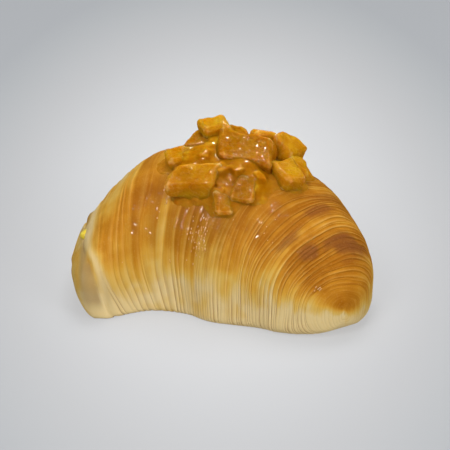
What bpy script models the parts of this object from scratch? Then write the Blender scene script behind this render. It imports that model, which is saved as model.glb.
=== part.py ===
"""Sfogliatella riccia topped with candied fruit.

One baked pastry of thin shingled leaves, swept from a blunt tip round to a pinched mouth,
with a tongue of cream that shows at the mouth and candied fruit heaped on its back.
Metres, +Z up. The tip points to +X, the mouth to -X and the hollow side to -Y.
"""

import math

import bmesh
import bpy
import numpy as np
from mathutils import Euler, Matrix, Vector

MM = 0.001
GAP = 0.3 * MM                 # clearance between pieces that touch

# Pastry: one row for each main cross-section, from the tip to the mouth's rim.
#   along       0 at the tip, 1 at the rim
#   x, y        middle of the section (mm)
#   heading     turn of the section's axis from +X towards -Y (degrees)
#   half_width  half the breadth of the section (mm)
#   crown       height of its top (mm)
#   waist       height of its broadest point (mm)
#   lean        how far its top leans back towards the mouth (mm)
#   corner      roundness of its lower corners, from 0 (square) to 1 (round)
COLUMNS = ("along", "x", "y", "heading", "half_width", "crown", "waist", "lean", "corner")
SECTIONS = (
    (0.00, 46.5, -42.0, 62.0, 20.0, 26.5, 13.0, 0.0, 0.42),
    (0.18, 36.5, -21.5, 48.0, 27.0, 38.0, 14.0, 0.0, 0.30),
    (0.40, 20.5, -4.5, 42.0, 36.0, 50.0, 13.0, 0.0, 0.14),
    (0.60, 2.0, 8.0, 26.0, 36.0, 55.0, 12.0, 2.0, 0.14),
    (0.80, -20.5, 10.5, 12.0, 33.0, 48.5, 12.0, 9.0, 0.14),
    (1.00, -44.0, 2.0, 0.0, 30.5, 26.0, 11.0, 7.5, 0.12),
)
UNITS = {"along": 1.0, "heading": math.radians(1.0), "corner": 1.0}
NOSE = 0.18                    # share of the length that rounds off into the tip
NOSE_RUN = NOSE * math.pi / 2  # the same stretch measured over the rounded surface
RUN_END = 1.0 - NOSE + NOSE_RUN
SIDE_ROUNDNESS = 0.92          # 1 is an ellipse, less is fuller
NOSE_UNDERSIDE = 0.35          # below 1, the rounded tip stays low underneath
BASE_PRESS = 1.03              # above 1, the base is pressed flat
BASE_DENSITY = 0.35            # how closely its points stand, against those round the sides
LEAN_CURVE = 0.7               # below 1, the lean starts low on the sides
AROUND = 40                    # points in one ring
OUTLINE_STEPS = 720            # steps used to measure an outline before it is shared out

# Leaves: each is a step that rises at its edge and sinks towards the next one.
LEAVES = 36
LEAF_STEP = 0.8 * MM
LEAF_ROOT = 0.8                # share of a leaf from its edge to its lowest line
LEAF_FADE = 2.5 * MM           # height over which the steps grow from the flat base

# Mouth: the dough folded over the opening.
MOUTH_MIDDLE = Vector((-49.5, 0.0, 13.0)) * MM
MOUTH_BULGE = 9.0 * MM
BULGE_SHOULDER = 3.0           # higher keeps the bulge flat in the middle
BULGE_SWELL = 0.4              # lower makes it rise more steeply at the rim
MOUTH_UNDERSIDE = 0.4          # below 1, the dough stays low underneath
MOUTH_TOP_SLOPE = 0.85         # how much flatter the bulge is towards its top
MOUTH_FAR_SLOPE = 0.5          # and towards its far side
MOUTH_RINGS = (0.96, 0.91, 0.86, 0.82, 0.78, 0.74, 0.66, 0.52, 0.36, 0.18)

# Seam: a groove across the mouth. Angles are from the near side, up over the top.
SEAM_SHARE = 0.80              # where it runs, between the middle (0) and the rim (1)
SEAM_DEPTH = 2.0 * MM
SEAM_WIDTH = 0.035
SEAM_START = math.radians(60)
SEAM_END = math.radians(205)
SEAM_FADE = math.radians(15)

# Cream: a flat tongue that shows at the seam and runs back through the pastry.
CREAM_SIZE = Vector((72.0, 15.0, 8.6)) * MM
CREAM_ANGLE = math.radians(88)  # where on the seam it shows
CREAM_PROUD = 3.4 * MM         # how far it stands out of the groove
CREAM_CLEARANCE = 0.4 * MM
CREAM_TURN = Euler((0.0, math.radians(1), math.radians(6)))
CREAM_ROUND = 16               # faces round it
CREAM_STEPS = 14               # and along it

# Candied fruit: middle (mm), length, breadth and depth (mm), and tilts (degrees) of each.
FRUIT = (
    ("slab", (-1.2, 13.0, 57.4), (23.0, 14.5, 6.5), (4, -7, -8)),
    ("top", (-3.0, 14.0, 61.6), (11.0, 10.5, 8.0), (6, -4, 10)),
    ("centre", (9.5, 1.5, 56.2), (21.0, 14.5, 8.0), (18, 8, -8)),
    ("rear_small", (15.5, 16.0, 56.2), (9.5, 9.0, 7.5), (-6, 14, 20)),
    ("right_top", (25.7, 12.0, 53.2), (11.5, 11.5, 9.0), (0, 28, -24)),
    ("right_low", (24.7, -5.5, 50.0), (10.5, 12.5, 7.5), (24, 22, 38)),
    ("right_edge", (28.6, 3.5, 50.0), (7.5, 9.0, 6.5), (10, 32, 8)),
    ("left", (-14.8, 3.2, 54.6), (12.5, 9.5, 6.0), (14, -8, 10)),
    ("front_left", (-10.0, -11.0, 51.2), (17.5, 12.0, 7.5), (30, -4, -4)),
    ("front_low", (0.9, -20.5, 45.3), (6.5, 9.5, 5.0), (38, 4, 12)),
    ("front_middle", (8.3, -15.0, 49.3), (9.0, 11.0, 6.0), (32, 8, -14)),
    ("rear_left", (0.5, 27.0, 53.0), (12.0, 10.0, 6.5), (-24, 2, 14)),
    ("rear_right", (15.5, 26.0, 50.0), (11.0, 9.5, 6.5), (-26, 14, -18)),
)
FRUIT_BEVEL = 1.1 * MM
FRUIT_UNEVENNESS = 0.16        # how far a corner strays, as a share of the piece
FRUIT_SEED = 5
BED_CLEARANCE = 0.4 * MM       # between the fruit and the pastry's back

CRUST_COLOUR = (0.50, 0.27, 0.08)
CREAM_COLOUR = (0.85, 0.66, 0.12)
FRUIT_COLOUR = (0.58, 0.26, 0.03)


# ---------------------------------------------------------------- small helpers
def through(knots, values, at):
    """Read a smooth curve through the given knots at one or more places."""
    knots = np.asarray(knots, dtype=float)
    values = np.asarray(values, dtype=float)
    width = np.diff(knots)
    rise = np.diff(values) / width
    slope = np.empty_like(values)
    slope[1:-1] = (rise[1:] * width[:-1] + rise[:-1] * width[1:]) / (width[1:] + width[:-1])
    slope[0] = 1.5 * rise[0] - 0.5 * slope[1]
    slope[-1] = 1.5 * rise[-1] - 0.5 * slope[-2]
    cell = np.clip(np.searchsorted(knots, at) - 1, 0, len(width) - 1)
    u = (at - knots[cell]) / width[cell]
    return (
        values[cell] * (2 * u**3 - 3 * u**2 + 1)
        + values[cell + 1] * (3 * u**2 - 2 * u**3)
        + width[cell] * slope[cell] * (u**3 - 2 * u**2 + u)
        + width[cell] * slope[cell + 1] * (u**3 - u**2)
    )


def smoothstep(low, high, value):
    """0 below low, 1 above high, smooth between."""
    u = np.clip((value - low) / (high - low), 0.0, 1.0)
    return u * u * (3.0 - 2.0 * u)


# ---------------------------------------------------------------- pastry surface
def section(along):
    """The cross-section's sizes at one place along the pastry, in metres and radians."""
    table = np.array(SECTIONS)
    size = {}
    for column, name in enumerate(COLUMNS):
        unit = UNITS.get(name, MM)
        size[name] = unit * float(through(table[:, 0], table[:, column], along))
    return size


def ring_outline(half_width, above, below, corner):
    """Closed outline of a section as (across, up from its waist), even steps round it.

    It starts in the middle of the base, runs round the near side (across < 0), over the
    crown and down the far side.
    """
    turn = np.linspace(-math.pi / 2, 1.5 * math.pi, OUTLINE_STEPS + 1)
    cos, sin = np.cos(turn), np.sin(turn)
    power = np.where(sin >= 0, SIDE_ROUNDNESS, corner)
    across = -half_width * np.sign(cos) * np.abs(cos) ** power
    up = np.where(sin >= 0, above, -BASE_PRESS * below) * np.abs(sin) ** power
    up = np.maximum(up, -below)
    step = np.hypot(np.diff(across), np.diff(up))
    step *= np.where(up[1:] > -below, 1.0, BASE_DENSITY)
    travelled = np.concatenate(([0.0], np.cumsum(step)))
    at = np.linspace(0.0, travelled[-1], AROUND, endpoint=False)
    return np.interp(at, travelled, across), np.interp(at, travelled, up)


def ring(run, grow=0.0):
    """Points of one leaf ring, pushed out by grow; run goes from 0 (tip) to RUN_END (rim)."""
    if run < NOSE_RUN:
        along, swell = NOSE * (1.0 - math.cos(run / NOSE)), math.sin(run / NOSE)
    else:
        along, swell = run - NOSE_RUN + NOSE, 1.0
    size = section(along)
    across, up = ring_outline(
        size["half_width"] * swell,
        (size["crown"] - size["waist"]) * swell,
        size["waist"] * swell**NOSE_UNDERSIDE,
        size["corner"],
    )
    up += size["waist"]
    run_across = np.roll(across, -1) - np.roll(across, 1)
    run_up = np.roll(up, -1) - np.roll(up, 1)
    length = np.hypot(run_across, run_up)
    push = grow * smoothstep(0.0, LEAF_FADE, up)
    across -= push * run_up / length
    up += push * run_across / length
    back = size["lean"] * np.clip(up / size["crown"], 0.0, 1.0) ** LEAN_CURVE
    cos, sin = math.cos(size["heading"]), math.sin(size["heading"])
    return np.stack([
        size["x"] + across * sin - back * cos,
        size["y"] + across * cos + back * sin,
        up,
    ], axis=1)


def mouth_angle(points):
    """Angle of each point round the mouth, from its near side up over its top."""
    middle = np.array(MOUTH_MIDDLE)
    return np.arctan2(points[:, 2] - middle[2], middle[1] - points[:, 1]) % (2 * math.pi)


def mouth_ring(share):
    """Points of one ring of the dough over the mouth; share runs 1 (rim) to 0 (middle)."""
    rim = ring(RUN_END)
    middle = np.array(MOUTH_MIDDLE)
    low = np.clip(1.0 - rim[:, 2:] / middle[2], 0.0, 1.0)
    points = middle + (rim - middle) * share ** (1.0 - (1.0 - MOUTH_UNDERSIDE) * low)
    high = np.clip((rim[:, 2] - middle[2]) / (rim[:, 2].max() - middle[2]), 0.0, 1.0)
    far = np.clip((rim[:, 1] - middle[1]) / (rim[:, 1].max() - middle[1]), 0.0, 1.0)
    flatter = 1.0 - share * np.maximum(MOUTH_TOP_SLOPE * high, MOUTH_FAR_SLOPE * far)
    bulge = MOUTH_BULGE * (1.0 - share**BULGE_SHOULDER) ** BULGE_SWELL * flatter
    angle = mouth_angle(rim)
    seam = smoothstep(SEAM_START - SEAM_FADE, SEAM_START + SEAM_FADE, angle)
    seam *= 1.0 - smoothstep(SEAM_END - SEAM_FADE, SEAM_END + SEAM_FADE, angle)
    groove = SEAM_DEPTH * seam * math.exp(-(((share - SEAM_SHARE) / SEAM_WIDTH) ** 2))
    points[:, 0] -= bulge - groove
    return points


def loft(name, rings, start, end):
    """A closed mesh through a row of rings, with a point at each end."""
    mesh = bmesh.new()
    rows = [[mesh.verts.new(point) for point in points] for points in rings]
    first, last = mesh.verts.new(start), mesh.verts.new(end)
    count = len(rows[0])
    for row, following in zip(rows, rows[1:]):
        for i in range(count):
            j = (i + 1) % count
            mesh.faces.new((row[i], row[j], following[j], following[i]))
    for i in range(count):
        j = (i + 1) % count
        mesh.faces.new((first, rows[0][j], rows[0][i]))
        mesh.faces.new((last, rows[-1][i], rows[-1][j]))
    bmesh.ops.recalc_face_normals(mesh, faces=mesh.faces)
    data = bpy.data.meshes.new(name)
    mesh.to_mesh(data)
    mesh.free()
    return data


def tip_point():
    """The foremost point of the tip."""
    size = section(0.0)
    forward = Vector((math.cos(size["heading"]), -math.sin(size["heading"]), 0.0))
    return Vector((size["x"], size["y"], size["waist"])) + forward * LEAF_STEP / 2


def pastry_mesh():
    """The whole pastry: two rings for each leaf, then the dough over the mouth."""
    rings = []
    for leaf in range(LEAVES):
        for share, side in ((LEAF_ROOT, -0.5), (1.0, 0.5)):
            rings.append(ring(RUN_END * (leaf + share) / LEAVES, side * LEAF_STEP))
    rings += [mouth_ring(share) for share in MOUTH_RINGS]
    return loft("pastry", rings, tip_point(), mouth_ring(0.0).mean(axis=0))


def bed_mesh():
    """The back of the pastry grown by the clearance, which the fruit is cut to sit on."""
    rings = [ring(RUN_END * (i + 1) / LEAVES, LEAF_STEP / 2 + BED_CLEARANCE)
             for i in range(LEAVES)]
    return loft("bed", rings, tip_point(), rings[-1].mean(axis=0))


# ---------------------------------------------------------------- cream and fruit
def cream_exit():
    """The point of the seam where the cream comes out."""
    points = mouth_ring(SEAM_SHARE)
    nearest = np.argmin(np.abs(mouth_angle(points) - CREAM_ANGLE))
    return Vector(points[nearest])


def tongue_mesh(name, size):
    """A flattened round tongue of the given length, breadth and thickness."""
    mesh = bmesh.new()
    bmesh.ops.create_uvsphere(
        mesh,
        u_segments=CREAM_ROUND,
        v_segments=CREAM_STEPS,
        radius=0.5,
        matrix=Matrix.Rotation(math.pi / 2, 4, "Y"),
    )
    bmesh.ops.scale(mesh, vec=size, verts=mesh.verts)
    data = bpy.data.meshes.new(name)
    mesh.to_mesh(data)
    mesh.free()
    return data


def fruit_mesh(name, size, corners, grow=0.0):
    """An uneven cut block with soft edges, or the same block grown on every side."""
    mesh = bmesh.new()
    bmesh.ops.create_cube(mesh, size=1.0)
    for vert, stray in zip(mesh.verts, corners):
        vert.co += Vector(stray) * FRUIT_UNEVENNESS
    bmesh.ops.scale(mesh, vec=[side + 2 * grow for side in size], verts=mesh.verts)
    bmesh.ops.bevel(
        mesh,
        geom=mesh.edges[:],
        offset=FRUIT_BEVEL,
        segments=1,
        affect="EDGES",
        clamp_overlap=True,
    )
    bmesh.ops.triangulate(mesh, faces=mesh.faces)
    data = bpy.data.meshes.new(name)
    mesh.to_mesh(data)
    mesh.free()
    return data


# ---------------------------------------------------------------- scene objects
def material(name, colour, roughness):
    """A plain Principled material."""
    made = bpy.data.materials.new(name)
    made.use_nodes = True
    shader = made.node_tree.nodes["Principled BSDF"]
    shader.inputs["Base Color"].default_value = (*colour, 1.0)
    shader.inputs["Roughness"].default_value = roughness
    shader.inputs["Metallic"].default_value = 0.0
    return made


def add_part(collection, name, data, finish):
    """A named object of the model in its own material."""
    part = bpy.data.objects.new(name, data)
    part.data.materials.append(finish)
    collection.objects.link(part)
    return part


def add_cutter(collection, name, data):
    """A hidden object that only shapes others."""
    cutter = bpy.data.objects.new(name, data)
    cutter.hide_render = True
    cutter.display_type = "WIRE"
    collection.objects.link(cutter)
    return cutter


def cut(part, cutter):
    """Take the cutter's shape out of the part."""
    modifier = part.modifiers.new(f"clear {cutter.name}", "BOOLEAN")
    modifier.operation = "DIFFERENCE"
    modifier.solver = "EXACT"
    modifier.object = cutter


def add_pastry_and_cream(parts, cutters):
    """The pastry with its pocket, and the tongue of cream in it."""
    pastry = add_part(parts, "pastry", pastry_mesh(), material("crust", CRUST_COLOUR, 0.45))
    cream = add_part(
        parts,
        "cream_filling",
        tongue_mesh("cream_filling", CREAM_SIZE),
        material("cream", CREAM_COLOUR, 0.35),
    )
    room = CREAM_SIZE + Vector.Fill(3, 2 * CREAM_CLEARANCE)
    pocket = add_cutter(cutters, "cream_pocket", tongue_mesh("cream_pocket", room))
    inward = Vector((CREAM_SIZE.x / 2 - CREAM_PROUD, 0.0, 0.0))
    inward.rotate(CREAM_TURN)
    for piece in (cream, pocket):
        piece.matrix_world = Matrix.LocRotScale(cream_exit() + inward, CREAM_TURN, None)
    cut(pastry, pocket)


def add_fruit(parts, cutters):
    """The heap of candied fruit, each piece cut clear of the pastry and the ones before."""
    bed = add_cutter(cutters, "fruit_bed", bed_mesh())
    finish = material("candied_fruit", FRUIT_COLOUR, 0.2)
    chance = np.random.default_rng(FRUIT_SEED)
    placed = []
    for number, (name, middle, size, tilt) in enumerate(FRUIT, start=1):
        corners = chance.uniform(-1.0, 1.0, (8, 3))
        middle = Vector(middle) * MM
        size = Vector(size) * MM
        turn = Euler([math.radians(angle) for angle in tilt])
        block = fruit_mesh(name, size, corners)
        piece = add_part(parts, f"candied_fruit_{number:02d}", block, finish)
        grown = fruit_mesh(f"room_{name}", size, corners, GAP)
        room = add_cutter(cutters, f"room_{number:02d}", grown)
        for made in (piece, room):
            made.matrix_world = Matrix.LocRotScale(middle, turn, None)
        cut(piece, bed)
        for other, other_middle, other_length in placed:
            if (middle - other_middle).length < (size.length + other_length) / 2:
                cut(piece, other)
        placed.append((room, middle, size.length))


def main():
    for old in list(bpy.data.objects):
        bpy.data.objects.remove(old, do_unlink=True)
    parts = bpy.data.collections.new("sfogliatella")
    cutters = bpy.data.collections.new("cutters")
    for collection in (parts, cutters):
        bpy.context.scene.collection.children.link(collection)
    add_pastry_and_cream(parts, cutters)
    add_fruit(parts, cutters)


main()
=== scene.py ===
"""Looks of a sfogliatella riccia: shingled leaves, a folded mouth, cream, and fruit in syrup.

Metres in the model's own frame: +Z up, the tip to +X, the mouth to -X, the hollow side to -Y.
"""

import math

import bmesh
import bpy
import numpy as np
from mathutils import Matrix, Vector


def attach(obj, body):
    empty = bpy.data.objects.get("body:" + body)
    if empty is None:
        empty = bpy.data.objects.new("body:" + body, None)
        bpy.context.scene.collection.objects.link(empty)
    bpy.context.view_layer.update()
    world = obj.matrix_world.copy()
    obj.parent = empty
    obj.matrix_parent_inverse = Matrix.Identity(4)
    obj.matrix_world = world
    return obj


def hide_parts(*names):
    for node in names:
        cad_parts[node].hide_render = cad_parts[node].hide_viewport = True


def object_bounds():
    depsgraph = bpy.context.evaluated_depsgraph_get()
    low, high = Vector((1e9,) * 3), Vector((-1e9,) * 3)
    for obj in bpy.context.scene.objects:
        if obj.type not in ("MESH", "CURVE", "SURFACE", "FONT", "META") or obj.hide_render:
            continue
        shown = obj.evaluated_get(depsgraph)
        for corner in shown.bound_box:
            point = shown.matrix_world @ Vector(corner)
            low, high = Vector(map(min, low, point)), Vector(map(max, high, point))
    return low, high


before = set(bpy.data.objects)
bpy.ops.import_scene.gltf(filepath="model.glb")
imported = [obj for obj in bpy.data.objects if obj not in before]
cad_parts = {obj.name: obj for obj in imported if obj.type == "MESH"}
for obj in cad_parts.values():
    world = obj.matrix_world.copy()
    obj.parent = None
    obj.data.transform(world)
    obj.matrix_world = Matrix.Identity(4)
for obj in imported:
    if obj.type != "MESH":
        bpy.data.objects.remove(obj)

MM = 0.001
LATTICE = 32                    # cells of noise before it repeats
CAD_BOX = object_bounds()

# ------------------------------------------------------------------ the pastry's form
# The same sections and nose as the solid: see SECTIONS in the part's source. The mouth is
# the solid's too, with its creases eased.
COLUMNS = ("along", "x", "y", "heading", "half_width", "crown", "waist", "lean", "corner")
SECTIONS = (
    (0.00, 46.5, -42.0, 62.0, 20.0, 26.5, 13.0, 0.0, 0.42),
    (0.18, 36.5, -21.5, 48.0, 27.0, 38.0, 14.0, 0.0, 0.30),
    (0.40, 20.5, -4.5, 42.0, 36.0, 50.0, 13.0, 0.0, 0.14),
    (0.60, 2.0, 8.0, 26.0, 36.0, 55.0, 12.0, 2.0, 0.14),
    (0.80, -20.5, 10.5, 12.0, 33.0, 48.5, 12.0, 9.0, 0.14),
    (1.00, -44.0, 2.0, 0.0, 30.5, 26.0, 11.0, 7.5, 0.12),
)
UNITS = {"along": 1.0, "heading": math.radians(1.0), "corner": 1.0}
NOSE = 0.18
NOSE_RUN = NOSE * math.pi / 2
RUN_START = 0.004
RUN_END = 1.0 - NOSE + NOSE_RUN
SIDE_ROUNDNESS = 0.92
NOSE_UNDERSIDE = 0.35
BASE_PRESS = 1.03
BASE_DENSITY = 0.2
LEAN_CURVE = 0.7
AROUND = 220
OUTLINE_STEPS = 1440
SMOOTH_RINGS = 600

MOUTH_MIDDLE = np.array((-49.5, 0.0, 13.0)) * MM
MOUTH_BULGE = 9.0 * MM
BULGE_SHOULDER = 3.0
BULGE_SWELL = 0.4
MOUTH_UNDERSIDE = 0.4
MOUTH_TOP_SLOPE = 0.85
MOUTH_FAR_SLOPE = 0.5
MOUTH_RINGS = 36
# A soft ring is averaged this often, each time over 1 / MOUTH_SOFT_REACH of the way round to
# either side; rings below this share are fully soft.
MOUTH_SOFT_ROUNDS = 2
MOUTH_SOFT_REACH = 24
MOUTH_SOFT_FROM = 0.55
LOW_EASE = 0.25                 # how gently the underside sets in
SIDE_EASE = 0.12                # and the top and the far side
SLOPE_BLEND = 4                 # how sharply the slopes of those two meet
SEAM_SHARE = 0.80
SEAM_DEPTH = 2.0 * MM
SEAM_WIDTH = 0.035
SEAM_START = math.radians(60)
SEAM_END = math.radians(205)
SEAM_FADE = math.radians(15)

# Leaves: how many to the pastry's length and how high their edges stand (mm), at places
# along it, and the form of each one.
LEAF_COUNT = ((0.0, 104.0), (0.35, 96.0), (0.5, 70.0), (0.7, 42.0), (1.0, 38.0))
LEAF_STEP = ((0.0, 0.22), (0.35, 0.24), (0.6, 0.20), (1.0, 0.24))
LEAF_FADE = 1.0 * MM
# How far an edge strays, in leaves: a slow and a quick wave round it, and the leaf as a whole.
STRAY_SLOW = 1.6
STRAY_QUICK = 0.45
STRAY_LEAF = 0.38
LEAST_GAP = 0.3                 # of a leaf's usual breadth
USUAL_LEAF = 1.6 * MM           # the breadth of leaf that LEAF_STEP is for
# The fold at the mouth: its place (mm past the rim) against the share over the back. The rows
# from 0.06 to 0.34 are a program's output, rounded.
FOLD = ((0.0, -3.4), (0.06, -3.6), (0.14, -4.2), (0.18, -3.7), (0.24, -2.6), (0.28, -1.4),
        (0.34, 0.0), (0.43, 0.8), (1.0, 1.0))
# (share of the leaf from its edge, height in steps, how light the line is there: above 0 a painted
# highlight along the leaf's edge, below 0 painted shade in the groove)
LEAF_PROFILE = (
    (0.00, -0.50, -1.0),
    (0.05, 0.20, 0.3),
    (0.18, 0.50, 1.0),
    (0.48, 0.20, 0.1),
    (0.78, -0.25, -0.4),
)


def through(knots, values, at):
    """Read a smooth curve through the given knots at one or more places."""
    knots = np.asarray(knots, dtype=float)
    values = np.asarray(values, dtype=float)
    width = np.diff(knots)
    rise = np.diff(values) / width
    slope = np.empty_like(values)
    slope[1:-1] = (rise[1:] * width[:-1] + rise[:-1] * width[1:]) / (width[1:] + width[:-1])
    slope[0] = 1.5 * rise[0] - 0.5 * slope[1]
    slope[-1] = 1.5 * rise[-1] - 0.5 * slope[-2]
    cell = np.clip(np.searchsorted(knots, at) - 1, 0, len(width) - 1)
    u = (at - knots[cell]) / width[cell]
    return (
        values[cell] * (2 * u**3 - 3 * u**2 + 1)
        + values[cell + 1] * (3 * u**2 - 2 * u**3)
        + width[cell] * slope[cell] * (u**3 - 2 * u**2 + u)
        + width[cell] * slope[cell + 1] * (u**3 - u**2)
    )


def smoothstep(low, high, value):
    """0 below low, 1 above high, smooth between."""
    u = np.clip((value - low) / (high - low), 0.0, 1.0)
    return u * u * (3.0 - 2.0 * u)


def eased(value, ease):
    """Value held to 0 to 1, without a kink where it leaves 0."""
    return np.clip(0.5 * (value + np.sqrt(value**2 + ease)), 0.0, 1.0)


def noise(points, seed):
    """Smooth noise from -1 to 1 at points (..., 2 or 3) of unit cells, from a seeded lattice."""
    points = np.asarray(points, dtype=float)
    axes = points.shape[-1]
    table = np.random.default_rng(seed).uniform(-1.0, 1.0, (LATTICE,) * axes)
    low = np.floor(points).astype(int)
    part = points - low
    part = part * part * (3.0 - 2.0 * part)
    total = np.zeros(points.shape[:-1])
    for corner in np.ndindex((2,) * axes):
        weight = np.ones(points.shape[:-1])
        index = []
        for axis, side in enumerate(corner):
            weight = weight * (part[..., axis] if side else 1.0 - part[..., axis])
            index.append((low[..., axis] + side) % LATTICE)
        total += weight * table[tuple(index)]
    return total


def section(along):
    """The cross-section's sizes at one place along the pastry, in metres and radians."""
    table = np.array(SECTIONS)
    size = {}
    for column, name in enumerate(COLUMNS):
        unit = UNITS.get(name, MM)
        size[name] = unit * float(through(table[:, 0], table[:, column], along))
    return size


def ring_outline(half_width, above, below, corner):
    """Closed outline of a section: across, up from its waist, and its share over the back."""
    turn = np.linspace(-math.pi / 2, 1.5 * math.pi, OUTLINE_STEPS + 1)
    cos, sin = np.cos(turn), np.sin(turn)
    power = np.where(sin >= 0, SIDE_ROUNDNESS, corner)
    across = -half_width * np.sign(cos) * np.abs(cos) ** power
    up = np.where(sin >= 0, above, -BASE_PRESS * below) * np.abs(sin) ** power
    up = np.maximum(up, -below)
    step = np.hypot(np.diff(across), np.diff(up))
    shows = up[1:] > -below
    travelled = np.concatenate(([0.0], np.cumsum(step * np.where(shows, 1.0, BASE_DENSITY))))
    over = np.concatenate(([0.0], np.cumsum(step * shows)))
    at = np.linspace(0.0, travelled[-1], AROUND, endpoint=False)
    return [np.interp(at, travelled, line) for line in (across, up, over / over[-1])]


def ring(run):
    """Points of one smooth ring, and each one's share of the way over the back."""
    if run < NOSE_RUN:
        along, swell = NOSE * (1.0 - math.cos(run / NOSE)), math.sin(run / NOSE)
    else:
        along, swell = run - NOSE_RUN + NOSE, 1.0
    size = section(along)
    across, up, over = ring_outline(
        size["half_width"] * swell,
        (size["crown"] - size["waist"]) * swell,
        size["waist"] * swell**NOSE_UNDERSIDE,
        size["corner"],
    )
    up += size["waist"]
    back = size["lean"] * np.clip(up / size["crown"], 0.0, 1.0) ** LEAN_CURVE
    cos, sin = math.cos(size["heading"]), math.sin(size["heading"])
    points = np.stack([
        size["x"] + across * sin - back * cos,
        size["y"] + across * cos + back * sin,
        up,
    ], axis=1)
    return points, over


def mouth_ring(rim, share):
    """Points of one ring of the dough over the mouth; share runs 1 (rim) to 0 (middle)."""
    middle = MOUTH_MIDDLE
    reach = len(rim) // MOUTH_SOFT_REACH
    soft = rim
    for _ in range(MOUTH_SOFT_ROUNDS):
        soft = np.mean([np.roll(soft, turn, axis=0) for turn in range(-reach, reach + 1)], axis=0)
    rim = soft + (rim - soft) * smoothstep(MOUTH_SOFT_FROM, 1.0, share)
    low = eased(1.0 - rim[:, 2:] / middle[2], LOW_EASE)
    points = middle + (rim - middle) * share ** (1.0 - (1.0 - MOUTH_UNDERSIDE) * low)
    high = eased((rim[:, 2] - middle[2]) / (rim[:, 2].max() - middle[2]), SIDE_EASE)
    far = eased((rim[:, 1] - middle[1]) / (rim[:, 1].max() - middle[1]), SIDE_EASE)
    slope = (MOUTH_TOP_SLOPE * high) ** SLOPE_BLEND + (MOUTH_FAR_SLOPE * far) ** SLOPE_BLEND
    slope = slope ** (1.0 / SLOPE_BLEND)
    flatter = 1.0 - share * slope
    bulge = MOUTH_BULGE * (1.0 - share**BULGE_SHOULDER) ** BULGE_SWELL * flatter
    angle = np.arctan2(rim[:, 2] - middle[2], middle[1] - rim[:, 1]) % (2 * math.pi)
    seam = smoothstep(SEAM_START - SEAM_FADE, SEAM_START + SEAM_FADE, angle)
    seam *= 1.0 - smoothstep(SEAM_END - SEAM_FADE, SEAM_END + SEAM_FADE, angle)
    groove = SEAM_DEPTH * seam * math.exp(-(((share - SEAM_SHARE) / SEAM_WIDTH) ** 2))
    points[:, 0] -= bulge - groove
    return points, seam


class Skin:
    """The pastry's smooth surface as a grid: rings from the tip to the rim, points round each."""

    def __init__(self):
        rings = [ring(run) for run in np.linspace(RUN_START, RUN_END, SMOOTH_RINGS)]
        self.points = np.array([points for points, _ in rings])
        self.over = np.array([over for _, over in rings])
        along = np.gradient(self.points, axis=0)
        round_it = np.roll(self.points, -1, 1) - np.roll(self.points, 1, 1)
        self.normals = np.cross(round_it, along)
        self.normals /= np.linalg.norm(self.normals, axis=2, keepdims=True)
        step = np.linalg.norm(np.diff(self.points, axis=0), axis=2)
        travelled = np.concatenate([np.zeros((1, AROUND)), np.cumsum(step, axis=0)])
        self.past_rim = travelled - travelled[-1]

    def read(self, grid, share):
        """A grid's values at a share of the length (rows of AROUND values)."""
        at = np.clip(share, 0.0, 1.0) * (SMOOTH_RINGS - 1)
        low = np.clip(np.floor(at).astype(int), 0, SMOOTH_RINGS - 2)
        part = at - low
        column = np.broadcast_to(np.arange(AROUND), low.shape)
        if grid.ndim == 3:
            part = part[..., None]
        return grid[low, column] * (1.0 - part) + grid[low + 1, column] * part

    def place(self, share, over):
        """The grid's row and column nearest to a share of the length and over the back."""
        row = int(round(share * (SMOOTH_RINGS - 1)))
        return row, np.argmin(np.abs(self.over[row] - over))


# ------------------------------------------------------------------ the crust's tones
# Tones passed to the material. The line holds painted highlights on leaf edges and painted shade in
# grooves, and the flap's tone is painted shade.
CRUST_TONES = ("line", "bake", "scorch", "amber", "glaze", "shaded_flap", "grain")
# Each patch: its middle (share of the length, share over the back from the near side),
# its reach in those two directions, and its strength.
SCORCHES = (
    (0.186, 0.60, 0.030, 0.120, 1.00),
    (0.150, 0.60, 0.016, 0.070, 0.35),
    (0.290, 0.54, 0.026, 0.070, 0.75),
    (0.196, 0.405, 0.022, 0.045, 0.85),
    (0.258, 0.380, 0.022, 0.060, 0.60),
    (0.330, 0.62, 0.025, 0.080, 0.35),
    (0.240, 0.80, 0.030, 0.080, 0.70),
    (0.420, 0.74, 0.028, 0.090, 0.55),
    (0.640, 0.70, 0.030, 0.100, 0.45),
    (0.840, 0.68, 0.030, 0.090, 0.50),
)
AMBERS = (
    (0.50, 0.31, 0.100, 0.130, 1.00),
    (0.46, 0.42, 0.080, 0.100, 1.00),
    (0.65, 0.25, 0.080, 0.080, 0.70),
    (0.58, 0.42, 0.140, 0.120, 0.60),
    (0.75, 0.25, 0.035, 0.080, 0.65),
    (0.83, 0.25, 0.025, 0.080, 0.40),
    (0.045, 0.60, 0.035, 0.110, 0.40),
    (0.20, 0.39, 0.050, 0.080, 0.65),
    (0.27, 0.42, 0.070, 0.110, 0.45),
    (0.50, 0.66, 0.160, 0.100, 0.45),
    (0.60, 0.76, 0.120, 0.070, 0.40),
)
GLAZES = (
    (0.60, 0.28, 0.13, 0.14, 1.0),
    (0.56, 0.19, 0.05, 0.06, 1.0),
    (0.56, 0.50, 0.20, 0.20, 1.0),
    (0.80, 0.20, 0.07, 0.07, 0.5),
    (0.18, 0.55, 0.03, 0.08, 0.6),
    (0.03, 0.50, 0.03, 0.10, 0.5),
    (0.36, 0.42, 0.08, 0.10, 0.5),
)


# How baked the crust is against the share over the back, counted up from either foot.
BAKE_AT = (0.0, 0.06, 0.12, 0.18, 0.26, 0.36, 0.50)
BAKE = (0.02, 0.06, 0.20, 0.45, 0.72, 0.88, 0.90)
LEFT_CROWN_PALER = 0.40
TIP_PALER = 0.42
RIM_SHARES = (0.950, 0.985)     # where the pale rim of the last leaf sets in


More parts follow.
